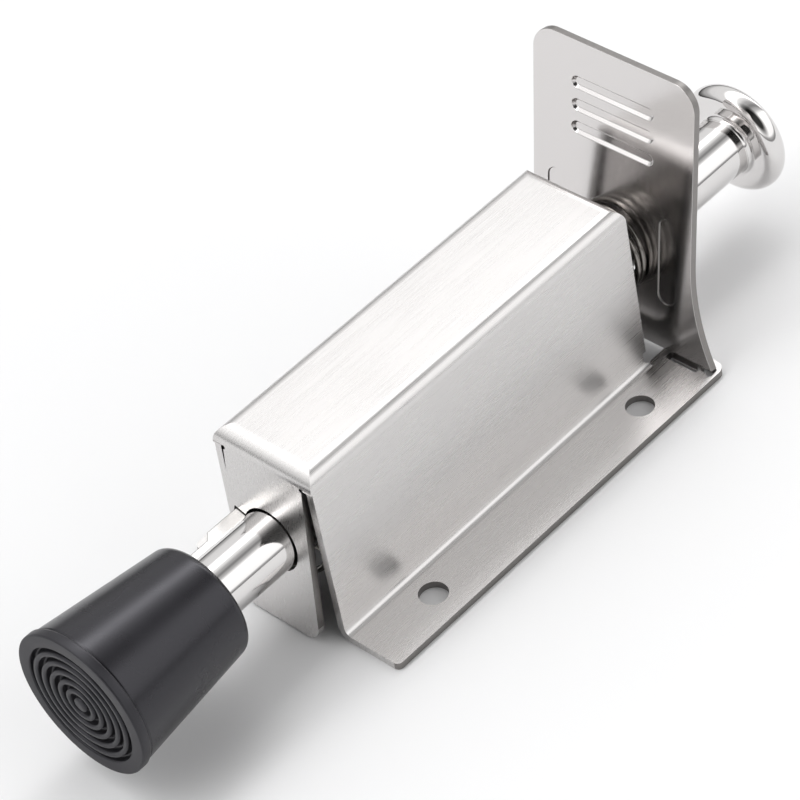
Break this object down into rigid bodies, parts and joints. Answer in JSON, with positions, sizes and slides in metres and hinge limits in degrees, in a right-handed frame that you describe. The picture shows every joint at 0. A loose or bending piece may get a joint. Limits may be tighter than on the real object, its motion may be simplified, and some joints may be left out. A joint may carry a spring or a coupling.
{
  "type": "spring door stop",
  "caption": "Spring door stop: a chrome plunger with a grooved rubber foot slides in a folded steel bracket and is gripped by a tilting release lever.",
  "frame": {"origin": "centre of the four screw holes, on the flanges' underside", "axes": "+X along the plunger from the rubber foot to the knob, +Z away from the mounting face"},
  "size_m": [0.1792, 0.0506, 0.0597],
  "materials": {
    "bracket_steel": "brushed stainless sheet",
    "lever_steel": "satin stainless sheet",
    "plated_tube": "polished chrome plate",
    "spring_wire": "drawn spring wire",
    "plain_steel": "zinc plated",
    "foot_rubber": "satin moulded rubber"
  },
  "bodies": {
    "bracket": {"bracket": "bracket_steel", "return_spring": "spring_wire", "lever_spring": "spring_wire"},
    "plunger": {"plunger_tube": "plated_tube", "guide_fin": "plated_tube", "rubber_foot": "foot_rubber", "foot_washer": "plain_steel", "knob": "plated_tube", "stop_washer": "plain_steel", "stop_pin": "plain_steel"},
    "lever": {"release_lever": "lever_steel"}
  },
  "joints": [
    {"name": "plunger_slide", "type": "slide", "parent": "bracket", "child": "plunger", "axis": [-1, 0, 0], "range_m": [0, 0.025], "stiffness_N_per_m": 200, "springref_m": -0.02, "deforming": ["return_spring"]},
    {"name": "lever_tilt", "type": "hinge", "parent": "bracket", "child": "lever", "pos_m": [0.04315, 0, 0.00085], "axis": [0, -1, 0], "range_deg": [0, 8.5], "stiffness_Nm_per_rad": 0.15, "springref_deg": -20.05, "deforming": ["lever_spring"]}
  ]
}
